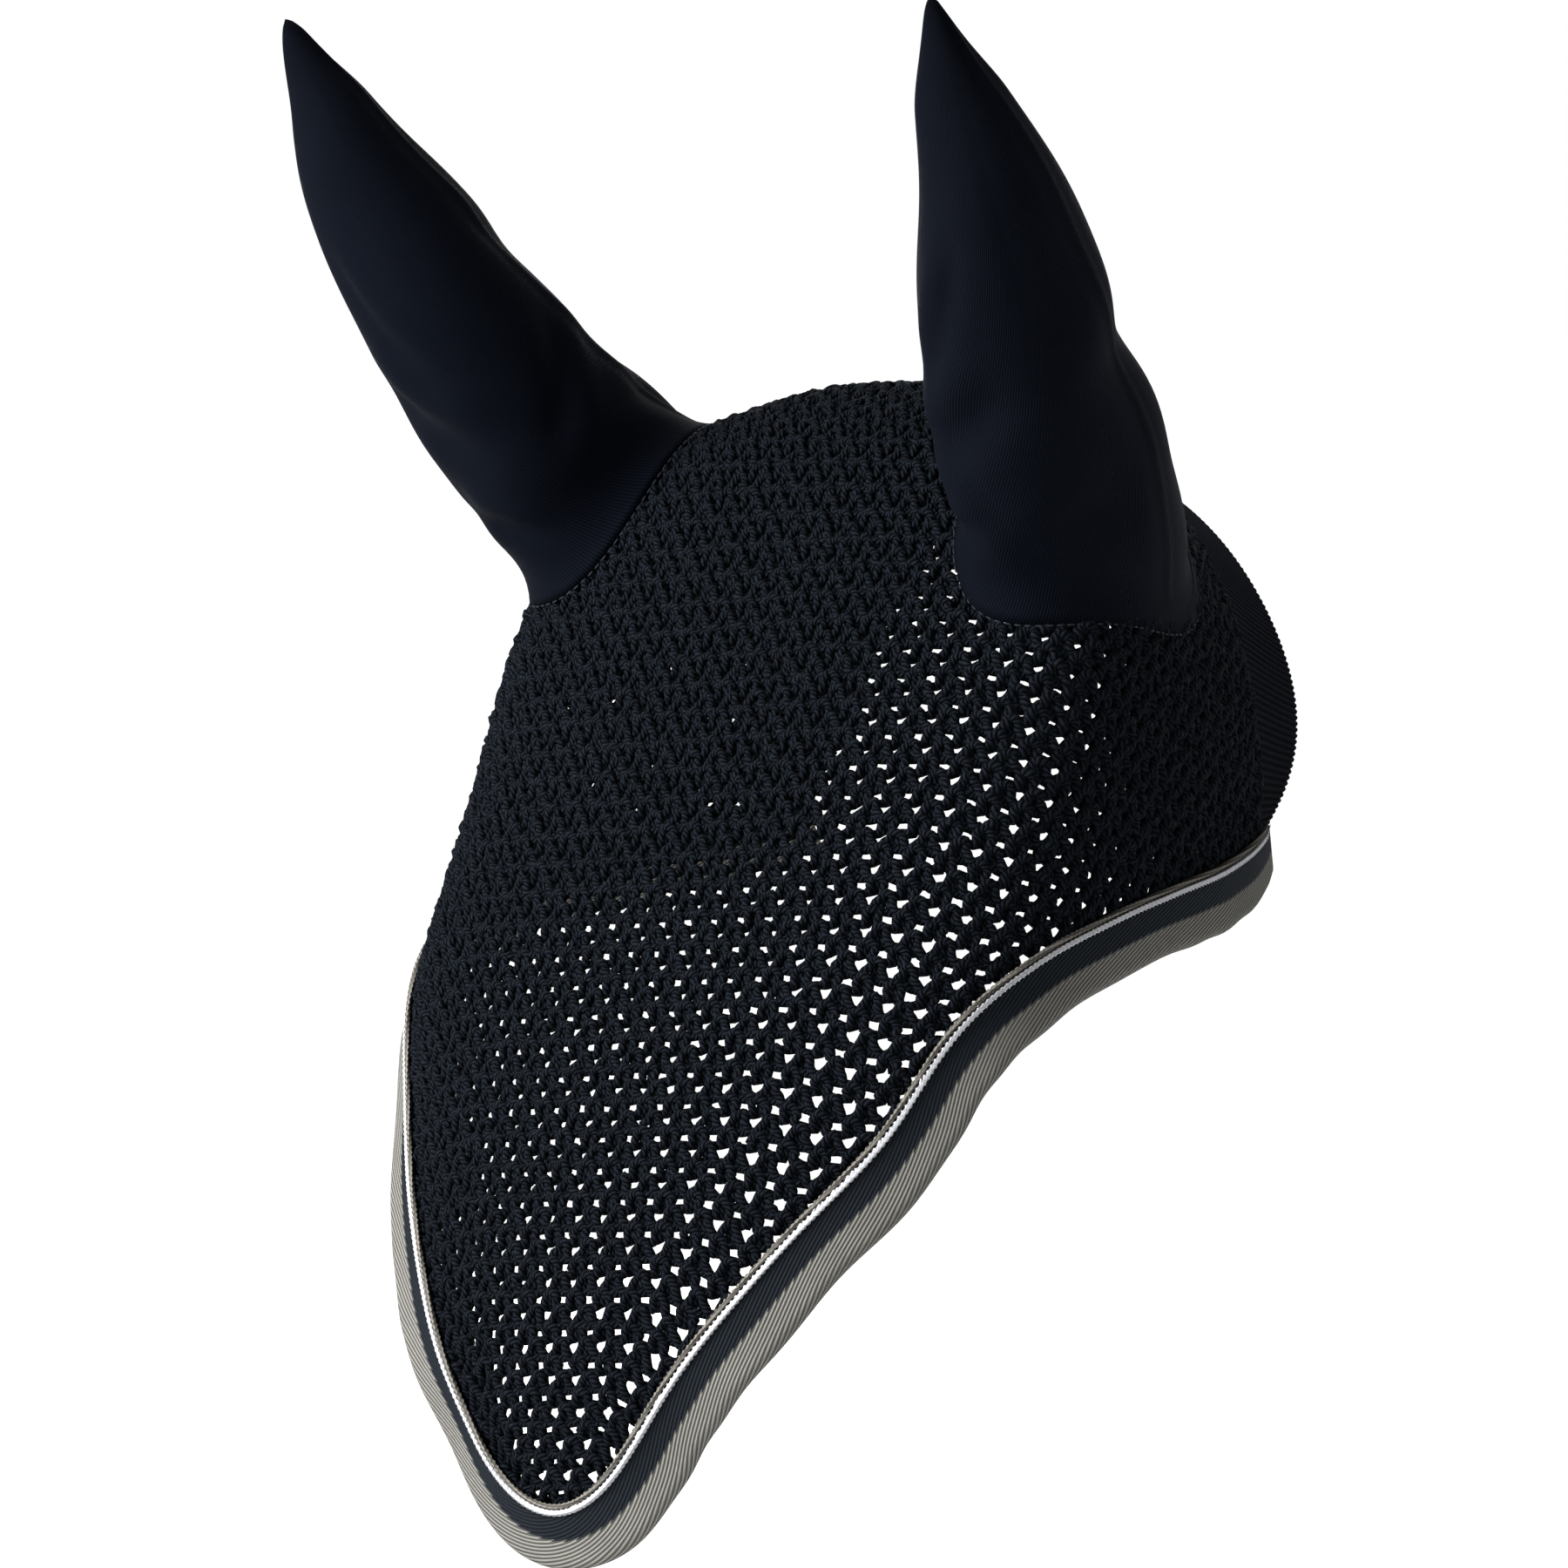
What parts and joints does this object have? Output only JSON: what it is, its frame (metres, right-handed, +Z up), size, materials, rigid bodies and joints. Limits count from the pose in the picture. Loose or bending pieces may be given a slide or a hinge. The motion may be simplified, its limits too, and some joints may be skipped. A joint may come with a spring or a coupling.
{
  "type": "horse ear bonnet",
  "caption": "Crocheted ear bonnet for a horse: a pointed forehead hood with a ribbed poll band, twill ear sleeves that tilt, a tape-bound lower edge and corded piping.",
  "frame": {"origin": "the crown: the point of the hood's centre line between the ears, in the middle of its wall, that rests on the horse's poll", "axes": "+Z up as worn, -Y forwards to the horse's nose, +X to the horse's left"},
  "size_m": [0.2608, 0.2408, 0.4287],
  "materials": {
    "crochet_yarn": "matte plied cotton yarn, crocheted",
    "rib_knit": "matte fine rib knit",
    "ear_twill": "matte stretch twill",
    "binding_tape": "twill tape, navy and stone grey halves",
    "white_cord": "twisted white cord",
    "grey_cord": "twisted taupe cord",
    "sewing_thread": "navy sewing thread"
  },
  "bodies": {
    "hood": {"crochet_hood": "crochet_yarn", "rib_poll_band": "rib_knit", "rib_seam_thread": "sewing_thread", "edge_binding": "binding_tape", "binding_stitching": "sewing_thread", "white_cord": "white_cord", "grey_cord": "grey_cord", "left_ear_foot": "ear_twill", "left_ear_hem": "ear_twill", "left_ear_hem_stitching": "sewing_thread", "right_ear_foot": "ear_twill", "right_ear_hem": "ear_twill", "right_ear_hem_stitching": "sewing_thread"},
    "left_ear": {"left_ear_front_panel": "ear_twill", "left_ear_back_panel": "ear_twill", "left_ear_outer_seam": "sewing_thread", "left_ear_inner_seam": "sewing_thread"},
    "right_ear": {"right_ear_front_panel": "ear_twill", "right_ear_back_panel": "ear_twill", "right_ear_outer_seam": "sewing_thread", "right_ear_inner_seam": "sewing_thread"}
  },
  "joints": [
    {"name": "left_ear_tilt", "type": "hinge", "parent": "hood", "child": "left_ear", "pos_m": [0.08741, -0.00419, -0.02811], "axis": [1, 0, 0], "range_deg": [-45, 12], "deforming": ["left_ear_foot"]},
    {"name": "right_ear_tilt", "type": "hinge", "parent": "hood", "child": "right_ear", "pos_m": [-0.08741, -0.00419, -0.02811], "axis": [1, 0, 0], "range_deg": [-45, 12], "deforming": ["right_ear_foot"]}
  ]
}
